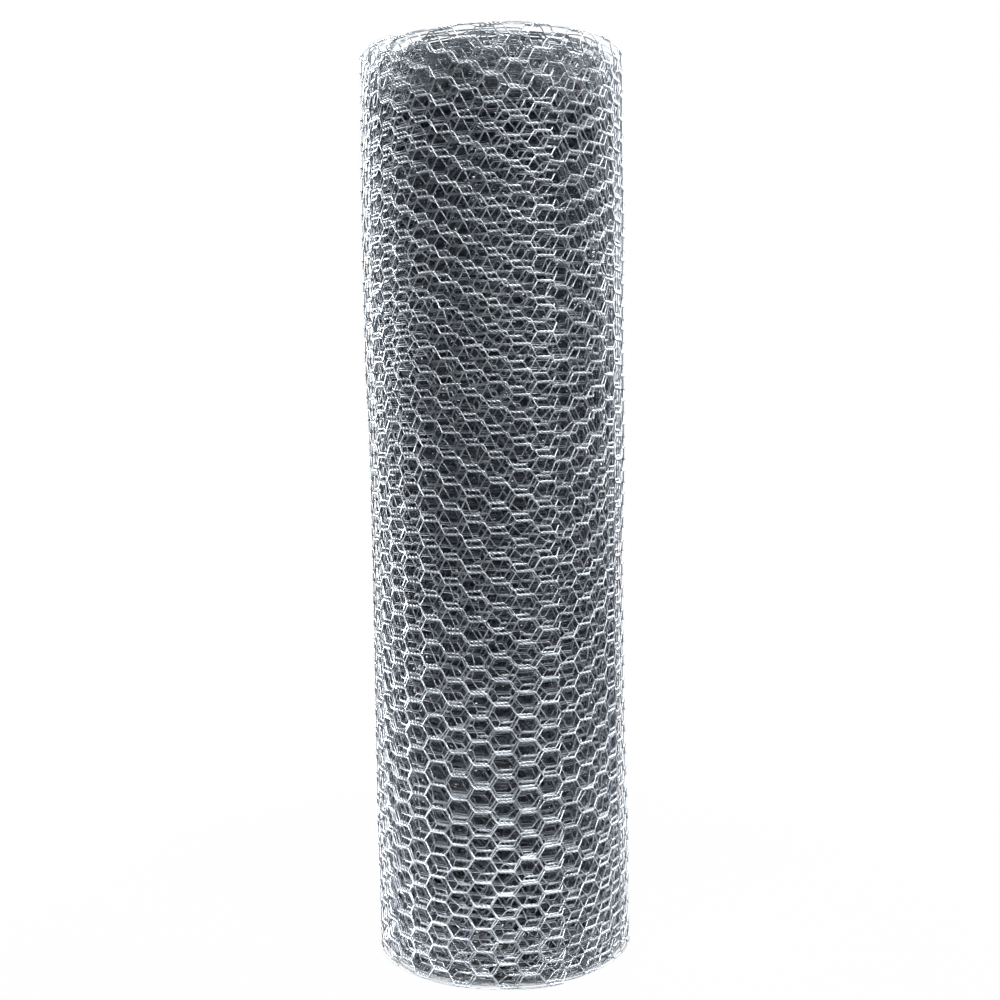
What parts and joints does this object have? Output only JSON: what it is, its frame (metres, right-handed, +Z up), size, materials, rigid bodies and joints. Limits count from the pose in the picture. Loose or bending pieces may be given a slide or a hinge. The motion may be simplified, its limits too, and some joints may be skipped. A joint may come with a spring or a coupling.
{
  "type": "roll of chicken wire",
  "caption": "Roll of galvanised hexagonal wire netting, wound on itself without a core and standing on its end.",
  "frame": {"origin": "centre of the roll's lower end, on the floor it stands on", "axes": "+Z up along the axis of the roll; +X and +Y are free round that axis, and the netting's cut end lies on the +X, -Y side"},
  "size_m": [0.1491, 0.149, 0.5],
  "materials": {
    "galvanised_wire": "galvanised, satin zinc grey"
  },
  "bodies": {
    "root": {"netting_roll": "galvanised_wire"}
  },
  "joints": []
}
